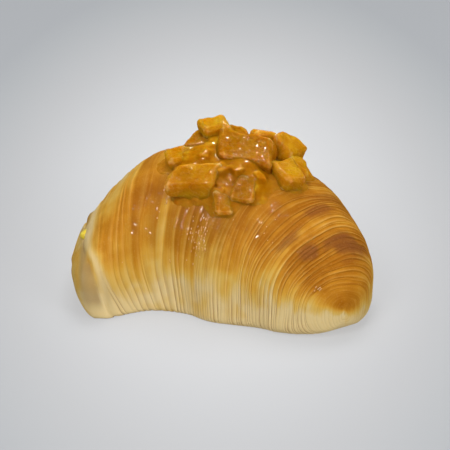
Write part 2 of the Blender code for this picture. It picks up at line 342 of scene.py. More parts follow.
def patches(table, share, over, stray):
    """The strongest of a table of soft-edged patches at each place."""
    total = np.zeros(share.shape)
    for middle, middle_over, reach, reach_over, strength in table:
        away = np.hypot((share - middle) / reach, (over - middle_over) / reach_over) + stray
        total = np.maximum(total, strength * (1.0 - smoothstep(0.35, 1.25, away)))
    return total


def fold(past_rim, over):
    """Height of the fold at the mouth, how pale its ridge is, and how far past it a point is."""
    places = np.array(FOLD)
    away = past_rim / MM - np.interp(over, places[:, 0], places[:, 1])
    near = smoothstep(0.03, 0.10, over)
    raised = near * (1.0 - smoothstep(0.36, 0.46, over))
    near = near * (1.0 - smoothstep(0.46, 0.54, over))
    height = np.exp(-((away / 1.3) ** 2)) - 0.5 * np.exp(-(((away - 2.6) / 1.1) ** 2))
    return 0.7 * MM * raised * height, near * np.exp(-(((away + 0.8) / 2.4) ** 2)), (
        near * smoothstep(0.8, 2.4, away))


def crust_tones(share, over, leaf, points):
    """How baked, scorched, amber with syrup and wet the crust is at each point."""
    low = np.minimum(over, 1.0 - over)
    bake = through(BAKE_AT, BAKE, low)
    bake = bake - LEFT_CROWN_PALER * smoothstep(0.66, 0.80, share) * smoothstep(0.32, 0.44, low)
    near_tip = 1.0 - smoothstep(0.16, 0.36, share)
    bake = bake - TIP_PALER * near_tip * (1.0 - smoothstep(0.22, 0.37, over))
    pale = smoothstep(*RIM_SHARES, share) * smoothstep(0.30, 0.42, over)
    band = noise(np.stack([leaf * 0.41, over * 3.0], axis=-1), 21)
    fine = noise(np.stack([leaf * 1.0, over * 4.0], axis=-1), 22)
    mottle = noise(points / (7.0 * MM), 23)
    left = smoothstep(0.45, 0.65, share)
    bake = bake + smoothstep(0.02, 0.2, low) * (0.3 + 0.7 * smoothstep(0.02, 0.16, share)) * (
        (0.20 + 0.06 * left) * band + 0.20 * fine)
    bake = bake + 0.12 * mottle + 0.10 * noise(points / (3.0 * MM), 27)
    bake = bake + 0.10 * left * noise(points / (13.0 * MM), 26)
    bake = bake * (1.0 - 0.9 * pale)
    stray = 0.30 * noise(np.stack([leaf * 0.8, over * 9.0], axis=-1), 24)
    stray = stray + 0.20 * noise(points / (2.5 * MM), 25)
    toast = 0.60 + 0.45 * noise(points / (4.0 * MM), 28)
    toast = toast * (1.0 - smoothstep(0.002, 0.013, low))
    toast = toast * (1.0 - smoothstep(0.2 * MM, 0.9 * MM, points[..., 2]))
    scorch = np.maximum(patches(SCORCHES, share, over, stray), toast)
    amber = patches(AMBERS, share, over, stray) * (0.85 + 0.40 * fine)
    glaze = patches(GLAZES, share, over, 0.6 * stray)
    return np.clip(bake, 0.0, 1.0), scorch, amber, glaze


def leaf_starts():
    """Where each leaf's edge lies, as a share of the length, for every point round it."""
    counts = np.array(LEAF_COUNT)
    share = np.linspace(0.0, 1.0, 400)
    density = through(counts[:, 0], counts[:, 1], share)
    number = np.concatenate(([0.0], np.cumsum((density[1:] + density[:-1]) / 2 * np.diff(share))))
    leaves = int(number[-1])
    even = np.interp(np.arange(leaves + 1) * number[-1] / leaves, number, share)
    pitch = np.gradient(even)[:, None]
    leaf, column = np.meshgrid(np.arange(leaves + 1), np.arange(AROUND) / AROUND, indexing="ij")
    stray = STRAY_SLOW * noise(np.stack([leaf * 0.10, column * 5.0], axis=-1), 11)
    stray += STRAY_QUICK * noise(np.stack([leaf * 0.45, column * 8.0], axis=-1), 12)
    stray += np.random.default_rng(13).uniform(-STRAY_LEAF, STRAY_LEAF, (leaves + 1, 1))
    stray *= smoothstep(0.0, 0.10, even)[:, None] * (1.0 - smoothstep(0.92, 1.0, even))[:, None]
    stray[0] = 0.0
    stray[-1] = 0.0
    starts = even[:, None] + pitch * stray
    for leaf in range(1, leaves + 1):
        starts[leaf] = np.maximum(starts[leaf], starts[leaf - 1] + LEAST_GAP * pitch[leaf])
    starts[-1] = 1.0
    return np.clip(starts, 0.0, 1.0)


def scallop(points, height):
    """Raise the grooves between leaves at the foot, so that the lower edge is scalloped."""
    foot = np.exp(-((points[:, 2] / (1.2 * MM)) ** 2))
    points[:, 2] += 0.5 * MM * foot * np.clip(-2.0 * height, 0.0, 1.0)


def pastry_surface(skin):
    """Rows of points from the tip to the middle of the mouth, with the tones at each."""
    starts = leaf_starts()
    even = starts.mean(axis=1)
    leaves = len(starts) - 1
    steps = np.array(LEAF_STEP)
    columns = np.arange(AROUND) / AROUND
    prominence = 0.50 + 1.4 * np.random.default_rng(18).uniform(size=leaves) ** 3
    names = ("points",) + CRUST_TONES
    rows = {name: [] for name in names}

    def keep(*values):
        for name, value in zip(names, values):
            rows[name].append(value)

    for leaf in range(leaves):
        spacing = np.linalg.norm(
            skin.read(skin.points, starts[leaf + 1]) - skin.read(skin.points, starts[leaf]), axis=1)
        strength = prominence[leaf] + 0.75 * noise(
            np.stack([np.full(AROUND, leaf * 0.9), columns * 11.0], axis=-1), 14)
        height_here = MM * through(steps[:, 0], steps[:, 1], even[leaf])
        step = height_here * np.clip(strength, 0.2, 1.5) * np.clip(spacing / USUAL_LEAF, 0.4, 1.4)
        for part, height, light in LEAF_PROFILE:
            share = starts[leaf] + part * (starts[leaf + 1] - starts[leaf])
            base = skin.read(skin.points, share)
            out = skin.read(skin.normals, share)
            over = skin.read(skin.over, share)
            folded, ridge, shaded_flap = fold(skin.read(skin.past_rim, share), over)
            bake, scorch, amber, glaze = crust_tones(
                share, over, np.full(AROUND, float(leaf)), base)
            plain = smoothstep(0.55, 0.75, share) * smoothstep(0.07, 0.20, over)
            plain = plain * (1.0 - smoothstep(0.50, 0.62, over))
            free = smoothstep(0.0, LEAF_FADE, base[:, 2]) * (1.0 - 0.4 * plain)
            lift = height * step * smoothstep(0.0, 0.18, share)
            lift *= (1.0 - 0.55 * glaze) * (1.0 - smoothstep(0.955, 0.995, share)) * (1.0 - shaded_flap)
            lumps = 0.40 * MM * noise(base / (11.0 * MM), 15)
            lumps = lumps + 0.16 * MM * noise(base / (4.5 * MM), 16)
            lift = lift * free + (lumps + folded) * smoothstep(0.0, 6.0 * MM, base[:, 2])
            points = base + out * lift[:, None]
            scallop(points, np.full(AROUND, height) * np.clip(strength, 0.0, 1.2))
            # The line is painted light: a highlight along each leaf's edge and shade in the
            # grooves, stronger at the foot, and a pale highlight along the rim's edge.
            line = light * np.clip(strength, 0.0, 1.5) * (1.0 - 0.5 * glaze) * (1.0 - shaded_flap)
            line = line * (0.25 + 0.75 * smoothstep(0.02, 0.24, share)) * (1.0 - ridge)
            foot = (1.0 - smoothstep(0.10, 0.22, over)) * (1.0 - smoothstep(0.50, 0.65, share))
            line = line * (1.0 + 0.5 * foot)
            line = line * (1.0 - 0.5 * plain)
            edge = smoothstep(*RIM_SHARES, share) * np.maximum(
                smoothstep(0.30, 0.42, over), 1.0 - smoothstep(0.10, 0.16, over))
            line = line + 1.6 * edge * (1.0 - shaded_flap)
            bake = bake * (1.0 - 0.95 * ridge)
            grain = np.stack([share * 150.0, over * 30.0, np.full(AROUND, leaf * 3.7)], axis=-1)
            # The flap's tone is painted shade; the ridge gets a little of it.
            keep(points, line, bake, scorch, amber, glaze, np.maximum(shaded_flap, 0.4 * ridge), grain)

    rim, over = ring(RUN_END)
    before = rim
    past_rim = np.zeros(AROUND)
    for share in 1.0 - (np.arange(1, MOUTH_RINGS) / MOUTH_RINGS) ** 0.9:
        points, seam = mouth_ring(rim, share)
        past_rim = past_rim + np.linalg.norm(points - before, axis=1)
        before = points.copy()
        folded, ridge, shaded_flap = fold(past_rim, over)
        bake = crust_tones(np.full(AROUND, 1.0), over, np.full(AROUND, 80.0), points)[0]
        wrinkle = 0.35 * MM * noise(points / (6.0 * MM), 17) * (1.0 - share) ** 0.5
        points[:, 0] -= (wrinkle + folded) * smoothstep(0.0, 6.0 * MM, points[:, 2])
        # A painted shade line along the seam's groove.
        line = -0.8 * seam * np.exp(-(((share - SEAM_SHARE) / (1.4 * SEAM_WIDTH)) ** 2))
        outer = smoothstep(2.5 * MM, 8.0 * MM, past_rim)
        far = smoothstep(0.47, 0.56, over)
        bake = 0.11 + 0.22 * outer + 0.45 * (bake - 0.5) * smoothstep(0.1, 0.8, share)
        bake = bake + 0.35 * far * (1.0 - outer)
        bake = bake + 0.06 * noise(points / (2.5 * MM), 29)
        bake = bake + 0.07 * noise(points / (np.array((9.0, 7.0, 1.1)) * MM), 30)
        grain = np.stack([np.full(AROUND, 150 + 20 * (1 - share)), over * 30.0,
                          np.zeros(AROUND)], axis=-1)
        zeros = np.zeros(AROUND)
        bake = bake * (1.0 - 0.95 * ridge)
        # The flap's painted shade fades away from the rim.
        keep(points, line, np.clip(bake, 0.0, 1.0), 0.5 * far * (1.0 - outer), zeros,
             zeros, shaded_flap * (1.0 - 0.9 * outer), grain)
    return {name: np.array(value) for name, value in rows.items()}


def add_attribute(mesh, name, values):
    """A float or vector value at every vertex, for the material to read."""
    kind, slot = ("FLOAT_VECTOR", "vector") if values.ndim > 1 else ("FLOAT", "value")
    attribute = mesh.attributes.new(name, kind, "POINT")
    attribute.data.foreach_set(slot, np.ascontiguousarray(values, dtype=np.float32).ravel())


def new_piece(name, vertices, faces, material, replaces):
    """A smooth-shaded mesh piece that rides on the object, held to the solid's box."""
    mesh = bpy.data.meshes.new(name)
    vertices = np.clip(vertices, *np.array(CAD_BOX))
    mesh.from_pydata(vertices.tolist(), [], faces)
    mesh.shade_smooth()
    mesh.materials.append(material)
    piece = bpy.data.objects.new(name, mesh)
    bpy.context.scene.collection.objects.link(piece)
    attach(piece, "root")
    if replaces:
        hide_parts(*replaces)
    return piece


def add_pastry(skin, material):
    """The whole pastry as one closed mesh: leaves, mouth and flat underside."""
    rows = pastry_surface(skin)
    count = len(rows["points"])
    tip = rows["points"][0].mean(axis=0)
    middle = rows["points"][-1].mean(axis=0)
    vertices = np.concatenate([rows["points"].reshape(-1, 3), [tip, middle]])
    row, column = np.meshgrid(np.arange(count - 1), np.arange(AROUND), indexing="ij")
    following = (column + 1) % AROUND
    quads = np.stack([
        row * AROUND + column,
        (row + 1) * AROUND + column,
        (row + 1) * AROUND + following,
        row * AROUND + following,
    ], axis=-1).reshape(-1, 4).tolist()
    ends = np.arange(AROUND)
    last = (count - 1) * AROUND
    for i, j in zip(ends, (ends + 1) % AROUND):
        quads.append([count * AROUND, i, j])
        quads.append([count * AROUND + 1, last + j, last + i])
    piece = new_piece("pastry_leaves", vertices, quads, material, ("pastry",))
    for name in CRUST_TONES:
        values = rows[name].reshape(count * AROUND, -1)
        ends = np.stack([rows[name][0].mean(axis=0), rows[name][-1].mean(axis=0)]).reshape(2, -1)
        add_attribute(piece.data, name, np.squeeze(np.concatenate([values, ends])))


# ------------------------------------------------------------------ materials
WET_EDGE = 14.0                 # how sharply the wet places end, as a gain on their noise


class Nodes:
    """A material's node tree, built by short calls."""

    def __init__(self, name):
        self.material = bpy.data.materials.new(name)
        self.material.use_nodes = True
        self.tree = self.material.node_tree
        self.shader = self.tree.nodes["Principled BSDF"]

    def add(self, kind, **settings):
        node = self.tree.nodes.new(kind)
        for name, value in settings.items():
            setattr(node, name, value)
        return node

    def link(self, value, socket):
        """Put a number, colour or another node's output into a socket."""
        if isinstance(value, bpy.types.NodeSocket):
            self.tree.links.new(value, socket)
        else:
            socket.default_value = value

    def attribute(self, name, output="Fac"):
        return self.add("ShaderNodeAttribute", attribute_name=name).outputs[output]

    def math(self, operation, a, b=0.0, clamp=False):
        node = self.add("ShaderNodeMath", operation=operation, use_clamp=clamp)
        self.link(a, node.inputs[0])
        self.link(b, node.inputs[1])
        return node.outputs[0]

    def mix(self, factor, a, b, blend="MIX"):
        node = self.add("ShaderNodeMix", data_type="RGBA", blend_type=blend)
        self.link(factor, node.inputs[0])
        self.link(a, node.inputs[6])
        self.link(b, node.inputs[7])
        return node.outputs[2]

    def ramp(self, factor, stops):
        node = self.add("ShaderNodeValToRGB")
        elements = node.color_ramp.elements
        while len(elements) < len(stops):
            elements.new(0.5)
        for element, (position, colour) in zip(elements, stops):
            element.position = position
            element.color = colour
        self.link(factor, node.inputs[0])
        return node.outputs[0]

    def noise(self, scale, detail=3.0, roughness=0.5, vector=None, stretch=(1, 1, 1)):
        """Noise with features about 1 / scale of a metre, or of the vector's unit."""
        where = vector or self.add("ShaderNodeTexCoord").outputs["Object"]
        mapping = self.add("ShaderNodeMapping")
        self.link(where, mapping.inputs["Vector"])
        mapping.inputs["Scale"].default_value = stretch
        node = self.add("ShaderNodeTexNoise")
        self.link(mapping.outputs[0], node.inputs["Vector"])
        node.inputs["Scale"].default_value = scale
        node.inputs["Detail"].default_value = detail
        node.inputs["Roughness"].default_value = roughness
        return node.outputs["Fac"]

    def past(self, value, middle, gain, clamp=False):
        """How far a value lies past a middle, times a gain."""
        return self.math("MULTIPLY", self.math("SUBTRACT", value, middle), gain, clamp)

    def bump(self, height, distance):
        node = self.add("ShaderNodeBump")
        node.inputs["Strength"].default_value = 1.0
        node.inputs["Distance"].default_value = distance
        self.link(height, node.inputs["Height"])
        return node.outputs["Normal"]

    def set(self, **values):
        """Put values into the shader's sockets; underscores stand for spaces."""
        for name, value in values.items():
            self.link(value, self.shader.inputs[name.replace("_", " ")])


def srgb(red, green, blue):
    """A colour given as it looks on a screen (0 to 255), in scene values."""
    values = np.array((red, green, blue)) / 255.0
    linear = np.where(values <= 0.04045, values / 12.92, ((values + 0.055) / 1.055) ** 2.4)
    return (*linear.tolist(), 1.0)


def crust_material():
    """Baked leaves: straw to brown, painted highlights on the edges, painted shade in the grooves,
    scorches and syrup shine.
    """
    nodes = Nodes("crust")
    grain = nodes.attribute("grain", "Vector")
    streak = nodes.noise(1.0, 4.0, 0.6, grain, (1.6, 0.35, 1.0))
    fine = nodes.noise(1.0, 3.0, 0.6, grain, (7.0, 1.2, 1.0))
    speck = nodes.noise(900.0, 2.0, 0.6)
    bake = nodes.math("ADD", nodes.attribute("bake"), nodes.past(streak, 0.5, 0.30))
    bake = nodes.math("ADD", bake, nodes.past(fine, 0.5, 0.22), clamp=True)
    colour = nodes.ramp(bake, (
        (0.00, srgb(212, 188, 134)),
        (0.22, srgb(207, 169, 84)),
        (0.45, srgb(203, 152, 54)),
        (0.70, srgb(185, 123, 30)),
        (1.00, srgb(158, 94, 14)),
    ))
    # Painted light: a pale highlight mixed in where the line is above 0, and painted shade
    # multiplied in where it is below 0, in the grooves and along the seam.
    line = nodes.attribute("line")
    light = nodes.math("MULTIPLY", line, 0.24, clamp=True)
    painted_groove_shade = nodes.math("MULTIPLY", line, nodes.math(
        "SUBTRACT", nodes.math("MULTIPLY", bake, 0.22), 0.40), clamp=True)
    # Painted shade: the flap past the fold at the mouth, and a little of the fold's ridge, are
    # greyed towards a shaded beige.
    colour = nodes.mix(nodes.math("MULTIPLY", nodes.attribute("shaded_flap"), 0.8), colour,
                       srgb(160, 132, 88))
    colour = nodes.mix(light, colour, nodes.mix(bake, srgb(232, 208, 156), srgb(224, 178, 80)))
    colour = nodes.mix(painted_groove_shade, colour, srgb(150, 96, 44), "MULTIPLY")
    amber = nodes.attribute("amber")
    colour = nodes.mix(nodes.math("MULTIPLY", amber, 0.85), colour, srgb(150, 90, 12))
    scorch = nodes.math("MULTIPLY", nodes.attribute("scorch"), nodes.math(
        "ADD", 0.45, nodes.math("MULTIPLY", streak, 0.9)), clamp=True)
    colour = nodes.mix(scorch, colour, srgb(128, 74, 32))
    glaze = nodes.attribute("glaze")
    rough = nodes.math("SUBTRACT", 0.58, nodes.math("MULTIPLY", glaze, 0.25))
    rough = nodes.math("ADD", rough, nodes.past(speck, 0.5, 0.2))
    relief = nodes.math("ADD", nodes.math("MULTIPLY", fine, 0.6),
                        nodes.math("MULTIPLY", speck, 0.3))
    normal = nodes.bump(relief, 0.12 * MM)
    tint = nodes.past(nodes.noise(1300.0, 2.0, 0.6), 0.56, 3.0, clamp=True)
    colour = nodes.mix(nodes.math("MULTIPLY", tint, 0.22), colour, srgb(226, 184, 104))
    waves = nodes.noise(280.0, 2.0, 0.35)
    wet = nodes.bump(waves, 0.7 * MM)
    beads = nodes.past(nodes.noise(650.0, 1.0, 0.5), 0.56, WET_EDGE, clamp=True)
    nodes.set(
        Base_Color=colour,
        Roughness=rough,
        Specular_IOR_Level=0.02,
        Normal=normal,
        Coat_Weight=nodes.math("MULTIPLY", beads, nodes.math(
            "ADD", nodes.math("MULTIPLY", glaze, 0.85), 0.15)),
        Coat_Roughness=0.04,
        Coat_Normal=wet,
    )
    return nodes.material


# ------------------------------------------------------------------ fruit, syrup and cream
# Each fruit piece: its name, the CAD node it stands for, and how light its flesh is (0 to 1).
FRUIT = (
    ("fruit_slab", "candied_fruit_01", 0.06),
    ("fruit_top", "candied_fruit_02", 0.65),
    ("fruit_centre", "candied_fruit_03", 0.16),
    ("fruit_rear_small", "candied_fruit_04", 0.60),
    ("fruit_right_top", "candied_fruit_05", 0.50),
    ("fruit_right_low", "candied_fruit_06", 0.52),
    ("fruit_right_edge", "candied_fruit_07", 0.50),
    ("fruit_left", "candied_fruit_08", 0.55),
    ("fruit_front_left", "candied_fruit_09", 0.45),
    ("fruit_front_low", "candied_fruit_10", 0.30),
    ("fruit_front_middle", "candied_fruit_11", 0.22),
    ("fruit_rear_left", "candied_fruit_12", 0.40),
    ("fruit_rear_right", "candied_fruit_13", 0.50),
)
FRUIT_CELL = 0.40 * MM
FRUIT_ROUNDS = 12               # of smoothing after the remesh
FRUIT_GROW = 0.35 * MM          # makes up for what the smoothing takes off
FRUIT_BEND = 0.9 * MM
RIM_ROUNDS = 10                 # of smoothing, to tell rims from faces
# Pools of syrup on the back: middle (share of the length, share over the back), reach (mm)
# and depth (mm).
POOLS = (
    (0.62, 0.50, 22.0, 6.0),
    (0.66, 0.43, 13.0, 5.8),
    (0.65, 0.37, 10.5, 4.8),
    (0.665, 0.330, 6.5, 2.2),
    (0.700, 0.360, 5.5, 1.8),
    (0.60, 0.345, 7.0, 3.5),
    (0.515, 0.335, 7.5, 3.5),
    (0.53, 0.45, 15.0, 6.0),
    (0.465, 0.42, 10.0, 4.6),
    (0.425, 0.52, 9.0, 3.4),
    (0.465, 0.60, 9.0, 3.2),
    (0.735, 0.43, 6.5, 1.6),
    (0.60, 0.62, 15.0, 4.4),
    (0.68, 0.60, 10.0, 3.8),
    (0.62, 0.72, 9.0, 1.8),
)
# Lumps of pulp in the syrup: place (share, share over) and size (mm).
CHUNKS = (
    (0.575, 0.400, 6.0), (0.545, 0.378, 5.5), (0.530, 0.415, 6.0), (0.455, 0.440, 5.5),
    (0.592, 0.362, 5.0), (0.562, 0.342, 6.5), (0.528, 0.350, 4.5), (0.640, 0.428, 6.0),
    (0.702, 0.392, 5.0), (0.620, 0.322, 4.5), (0.667, 0.326, 4.5), (0.440, 0.478, 4.5),
    (0.640, 0.640, 6.5), (0.545, 0.625, 6.0), (0.720, 0.580, 6.0), (0.510, 0.318, 4.0),
)
BOX_FACES = ((0, 1, 3, 2), (4, 6, 7, 5), (0, 4, 5, 1), (2, 3, 7, 6), (0, 2, 6, 4), (1, 5, 7, 3))
# Groups of drops: middle (share, share over), spread in both, and how many. The middles of
# the five rows from 0.741 to 0.872, and of 0.107, are a program's output.
# Many of these drops sit where glints show on the glaze; their pale colour is a painted highlight.
BEADS = (
    (0.556, 0.215, 0.030, 0.024, 52),
    (0.540, 0.262, 0.014, 0.012, 10),
    (0.600, 0.230, 0.035, 0.040, 12),
    (0.741, 0.270, 0.0, 0.0, 1),
    (0.784, 0.173, 0.0, 0.0, 1),
    (0.724, 0.164, 0.004, 0.004, 2),
    (0.689, 0.155, 0.002, 0.004, 2),
    (0.872, 0.176, 0.0, 0.0, 1),
    (0.360, 0.330, 0.040, 0.050, 10),
    (0.107, 0.366, 0.006, 0.020, 5),
    (0.700, 0.320, 0.030, 0.040, 10),
    (0.600, 0.740, 0.040, 0.040, 16),
)
DROP_SIZES = (0.16, 0.40)       # mm; a drop's half measures are DROP_FORM by this,
DROP_FORM = (0.5, 0.8)          # off the skin and across the leaf,
DROP_LENGTHS = (0.9, 2.6)       # and along the leaf
DROP_RISE = 0.12 * MM
SYRUP_CELL = 0.50 * MM
SYRUP_ROUNDS = 12               # of smoothing after the remesh
SYRUP_UNDER = 0.9 * MM          # how far the syrup's hidden side lies under the crust
SYRUP_IN_FRUIT = 0.45 * MM      # and how far it lies inside the fruit
POOL_BLEND = 2.5                # how sharply pools meet, in 1 / mm
POOL_FORM = 1.6                 # how thin a pool runs out
POOL_DRY = -3.0                 # depth outside a pool, in the pool's own depths
POOL_LEVEL = 0.25               # mm taken off for what the blend adds
THIN_SYRUP = 2.2 * MM           # syrup this deep has its full colour


def evaluated(name, vertices, faces, *modifiers):
    """Vertices and faces of a mesh after the given modifiers."""
    mesh = bpy.data.meshes.new(name)
    mesh.from_pydata(vertices, [], faces)
    holder = bpy.data.objects.new(name, mesh)
    bpy.context.scene.collection.objects.link(holder)
    for kind, settings in modifiers:
        modifier = holder.modifiers.new(kind, kind)
        for key, value in settings.items():
            setattr(modifier, key, value)
    shaped = holder.evaluated_get(bpy.context.evaluated_depsgraph_get()).to_mesh()
    points = np.zeros(len(shaped.vertices) * 3)
    normals = np.zeros(len(shaped.vertices) * 3)
    shaped.vertices.foreach_get("co", points)
    shaped.vertices.foreach_get("normal", normals)
    polygons = [list(face.vertices) for face in shaped.polygons]
    bpy.data.objects.remove(holder)
    bpy.data.meshes.remove(mesh)
    return points.reshape(-1, 3), normals.reshape(-1, 3), polygons


def relaxed(points, faces, rounds):
    """The same mesh after rounds of smoothing."""
    return evaluated("relaxed", points.tolist(), faces,
                     ("SMOOTH", {"factor": 0.5, "iterations": rounds}))


def remeshed(vertices, faces, cell, rounds):
    """A closed mesh rebuilt in even cells and smoothed: points, normals and faces."""
    return evaluated(
        "rebuilt", vertices, faces,
        ("REMESH", {"mode": "VOXEL", "voxel_size": cell}),
        ("SMOOTH", {"factor": 0.5, "iterations": rounds}),
    )


def node_mesh(node):
    """Vertices, normals and faces of a CAD node, welded."""
    mesh = bmesh.new()
    mesh.from_mesh(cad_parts[node].data)
    bmesh.ops.remove_doubles(mesh, verts=mesh.verts, dist=1e-6)
    mesh.normal_update()
    mesh.verts.ensure_lookup_table()
    points = np.array([vert.co[:] for vert in mesh.verts])
    normals = np.array([vert.normal[:] for vert in mesh.verts])
    faces = [[vert.index for vert in face.verts] for face in mesh.faces]
    mesh.free()
    return points, normals, faces


def add_fruit(material):
    """Each piece of candied fruit, its corners softened and its faces uneven."""
    shapes = []
    for number, (name, node, light) in enumerate(FRUIT):
        points, normals, faces = node_mesh(node)
        points, normals, polygons = remeshed(
            (points + FRUIT_GROW * normals).tolist(), faces, FRUIT_CELL, FRUIT_ROUNDS)
        # rim: how convex each point is; the material paints light on the most convex edges.
        rim = np.sum((points - relaxed(points, polygons, RIM_ROUNDS)[0]) * normals, axis=1)
        rim = rim / np.percentile(rim, 97)
        bend = [noise(points / (7.0 * MM), seed) for seed in (33, 34, 35)]
        lumps = 0.45 * MM * noise(points / (4.5 * MM) + 3.7 * number, 31)
        lumps += 0.13 * MM * noise(points / (1.8 * MM) + 3.7 * number, 32)
        points = points + FRUIT_BEND * np.stack(bend, axis=1) + normals * lumps[:, None]
        points[:, 2] -= max(points[:, 2].max() - CAD_BOX[1][2], 0.0)
        shapes.append((points, normals, polygons))
        piece = new_piece(name, points, polygons, material, (node,))
        add_attribute(piece.data, "rim", np.clip(rim, -1.0, 1.5))
        add_attribute(piece.data, "light", np.full(len(points), light))
        turn = np.random.default_rng(40 + number).normal(size=(3, 3))
        add_attribute(piece.data, "flesh", points / MM @ np.linalg.qr(turn)[0] + 9.0 * number)
    return shapes


def syrup_depth(skin, points):
    """Depth of the syrup over points of the skin; below zero where there is none."""
    ragged = 0.10 * noise(points / (5.0 * MM), 51) + 0.06 * noise(points / (2.0 * MM), 52)
    total = np.zeros(points.shape[:-1])
    for middle, over, reach, depth in POOLS:
        at = skin.points[skin.place(middle, over)]
        away = np.linalg.norm(points - at, axis=-1) / (reach * MM) + ragged
        within = 1.0 - away**2
        form = np.where(within > 0.0, np.maximum(within, 0.0) ** POOL_FORM, POOL_DRY)
        total += np.exp(POOL_BLEND * depth * form)
    return MM * (np.log(total) / POOL_BLEND - POOL_LEVEL)


def add_syrup(skin, shapes, material):
    """Thick syrup in the gaps of the fruit and on the back, rounded where it meets them."""
    rows = np.arange(int(0.26 * SMOOTH_RINGS), int(0.88 * SMOOTH_RINGS), 3)
    columns = np.flatnonzero((skin.over[SMOOTH_RINGS // 2] > 0.14)
                             & (skin.over[SMOOTH_RINGS // 2] < 0.86))
    points = skin.points[rows][:, columns]
    normals = skin.normals[rows][:, columns]
    depth = np.maximum(syrup_depth(skin, points), -SYRUP_UNDER)
    wet = np.argwhere(depth[:-1, :-1] > 0.3 * MM - SYRUP_UNDER)
    top = points + normals * (depth + 0.15 * MM)[..., None]
    bottom = points - normals * (SYRUP_UNDER + 0.2 * MM)
    wide, count = len(columns), depth.size
    vertices = np.concatenate([top.reshape(-1, 3), bottom.reshape(-1, 3)])
    faces = []
    edges = set()
    for i, j in wet:
        a, b = int(i * wide + j), int((i + 1) * wide + j)
        cell = [a, b, b + 1, a + 1]
        faces.append(cell)
        faces.append([k + count for k in reversed(cell)])
        edges.update(zip(cell, cell[1:] + cell[:1]))
    for a, b in sorted(edges):
        if (b, a) not in edges:
            faces.append([b, a, a + count, b + count])
    random = np.random.default_rng(55)
    for share, over, size in CHUNKS:
        row, column = skin.place(share, over)
        out = skin.normals[row, column]
        level = max(float(syrup_depth(skin, skin.points[row, column])), 0.0)
        turn = np.linalg.qr(np.stack([out, *random.normal(size=(2, 3))], axis=1))[0]
        half = size * MM * np.array((0.30, 0.5, 0.36)) * random.uniform(0.8, 1.15, 3)
        corners = np.array(list(np.ndindex(2, 2, 2))) * 2.0 - 1.0
        corners *= random.uniform(0.75, 1.1, (8, 3))
        corners = (corners * half) @ (turn + random.normal(0.0, 0.16, (3, 3))).T
        middle = skin.points[row, column] + out * (level + random.uniform(-0.8, 0.6) * MM)
        for cell in BOX_FACES:
            faces.append([index + len(vertices) for index in cell])
        vertices = np.concatenate([vertices, middle + corners])
    for points, normals, polygons in shapes:
        faces += [[index + len(vertices) for index in face] for face in polygons]
        vertices = np.concatenate([vertices, points - SYRUP_IN_FRUIT * normals])
    points, normals, polygons = remeshed(vertices.tolist(), faces, SYRUP_CELL, SYRUP_ROUNDS)
    ripple = 0.35 * MM * noise(points / (4.0 * MM), 53)
    ripple += 0.20 * MM * noise(points / (1.8 * MM), 54)
    points = points + normals * ripple[:, None]
    # rim: how convex the syrup is, for painted shade in its hollows and painted light on its
    # ridges.
    soft = relaxed(points, polygons, RIM_ROUNDS)[0]
    rim = np.sum((points - soft) * normals, axis=1) / (0.12 * MM)
    piece = new_piece("syrup", points, polygons, material, ())
    add_attribute(piece.data, "rim", np.clip(rim, -1.5, 1.5))
    add_attribute(piece.data, "thin", 1.0 - smoothstep(0.0, THIN_SYRUP, syrup_depth(skin, points)))


def add_beads(skin, material):
    """Small drops of syrup that stand on the glazed leaves."""
    random = np.random.default_rng(71)
    ball = bmesh.new()
    bmesh.ops.create_icosphere(ball, subdivisions=2, radius=1.0)
    form = np.array([vert.co[:] for vert in ball.verts])
    cells = [[vert.index for vert in face.verts] for face in ball.faces]
    ball.free()
    vertices = np.zeros((0, 3))
    faces = []
    for share, over, spread, spread_over, count in BEADS:
        for _ in range(count):
            row, column = skin.place(share + random.normal(0.0, spread),
                                     over + random.normal(0.0, spread_over))
            out = skin.normals[row, column]
            along = skin.points[row, column + 1] - skin.points[row, column]
            turn = np.linalg.qr(np.stack([out, along, random.normal(size=3)], axis=1))[0]
            half = random.uniform(*DROP_SIZES) * MM * np.array(
                (DROP_FORM[0], random.uniform(*DROP_LENGTHS), DROP_FORM[1]))
            uneven = 1.0 + 0.2 * noise(1.3 * form + 5.0 * len(faces), 72)
            faces += [[index + len(vertices) for index in cell] for cell in cells]
            middle = skin.points[row, column] + DROP_RISE * out
            drop = middle + (form * uneven[:, None] * half) @ turn.T
            vertices = np.concatenate([vertices, drop])
    new_piece("syrup_beads", vertices, faces, material, ())


def bead_material():
    """Pale amber drops of syrup; the pale colour is a painted highlight, standing in for glints."""
    nodes = Nodes("syrup_beads")
    colour = nodes.ramp(nodes.noise(900.0, 2.0, 0.5), (
        (0.35, srgb(190, 128, 50)),
        (0.65, srgb(226, 182, 118)),
    ))
    nodes.set(
        Base_Color=colour,
        Roughness=0.25,
        Subsurface_Weight=0.5,
        Subsurface_Radius=(1.0, 0.6, 0.3),
        Subsurface_Scale=0.5 * MM,
        Coat_Weight=1.0,
        Coat_Roughness=0.05,
    )
    return nodes.material


def set_wet(nodes, colour, normal, beads, wet):
    """The look that fruit and syrup share: amber that light enters, with wet places on it."""
    nodes.set(
        Base_Color=colour,
        Roughness=0.35,
        Specular_IOR_Level=0.0,
        Normal=normal,
        Subsurface_Radius=(1.0, 0.55, 0.1),
        Coat_Weight=nodes.math("ADD", nodes.math("MULTIPLY", beads, 0.9), 0.03),
        Coat_Roughness=0.025,
        Coat_Normal=wet,
    )


